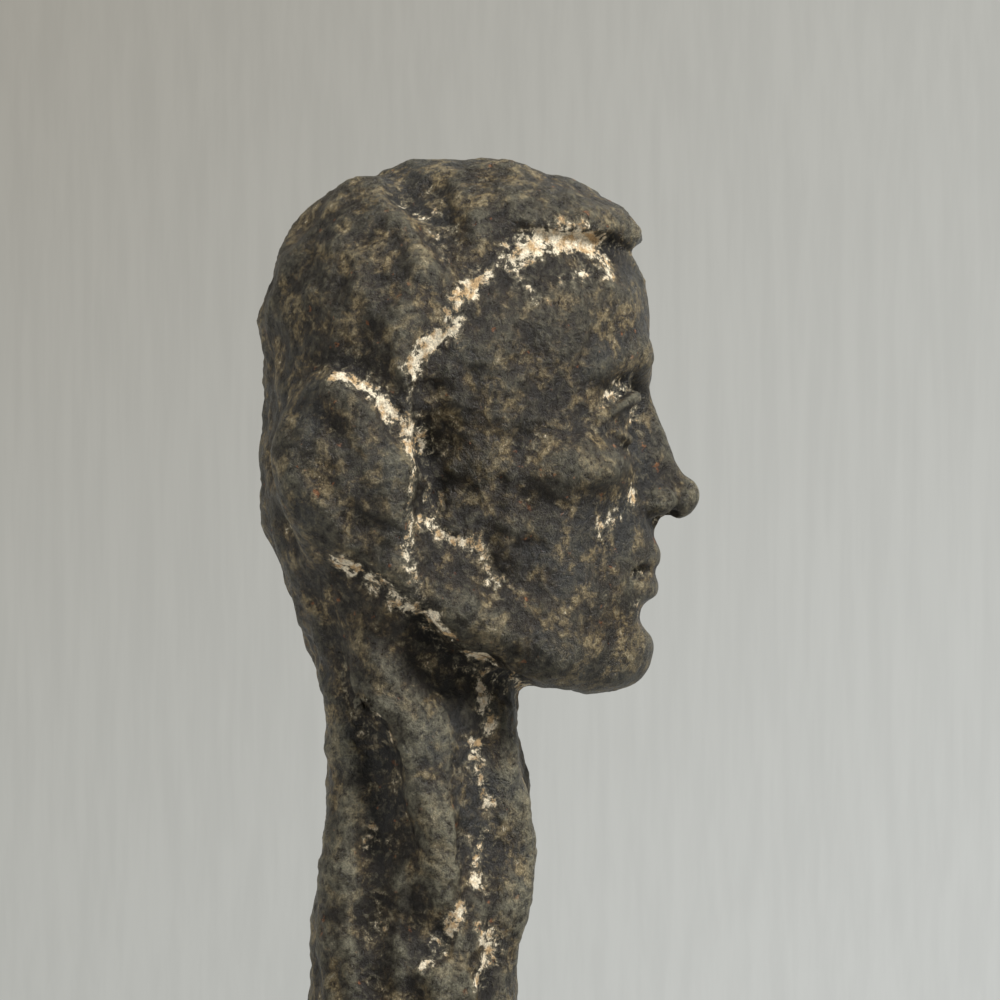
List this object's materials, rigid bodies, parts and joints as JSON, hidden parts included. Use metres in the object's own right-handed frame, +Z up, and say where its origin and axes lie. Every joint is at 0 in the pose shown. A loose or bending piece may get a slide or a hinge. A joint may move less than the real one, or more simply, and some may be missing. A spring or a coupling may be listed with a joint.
{
  "type": "figure trophy",
  "caption": "Slender standing bronze figure in a long coat, cast in joined pieces and clamped by studs to a square stone plinth with a blank name plate and a felt foot.",
  "frame": {"origin": "middle of the felt's underside, where the trophy rests", "axes": "+Z up the figure, -Y the way it faces, +X its left side"},
  "size_m": [0.09, 0.09, 0.3845],
  "materials": {
    "bronze_patina": "dark umber patina on cast bronze, satin wax, with olive and cream residue in the recesses",
    "stone": "honed dark stone with faint pale veins",
    "brass": "brushed brass, blank",
    "steel": "zinc plated",
    "felt": "dense dark green felt"
  },
  "bodies": {
    "root": {"ground_plate": "bronze_patina", "left_leg_casting": "bronze_patina", "right_leg_casting": "bronze_patina", "coat_casting": "bronze_patina", "left_arm_casting": "bronze_patina", "right_arm_casting": "bronze_patina", "neck_casting": "bronze_patina", "head_casting": "bronze_patina", "crown_plug": "bronze_patina", "hip_pins": "bronze_patina", "arm_pins": "bronze_patina", "neck_pin": "bronze_patina", "head_pin": "bronze_patina", "plinth": "stone", "name_plate": "brass", "name_tacks": "brass", "mounting_studs": "steel", "flat_washers": "steel", "lock_washers": "steel", "hex_nuts": "steel", "base_felt": "felt"}
  },
  "joints": []
}
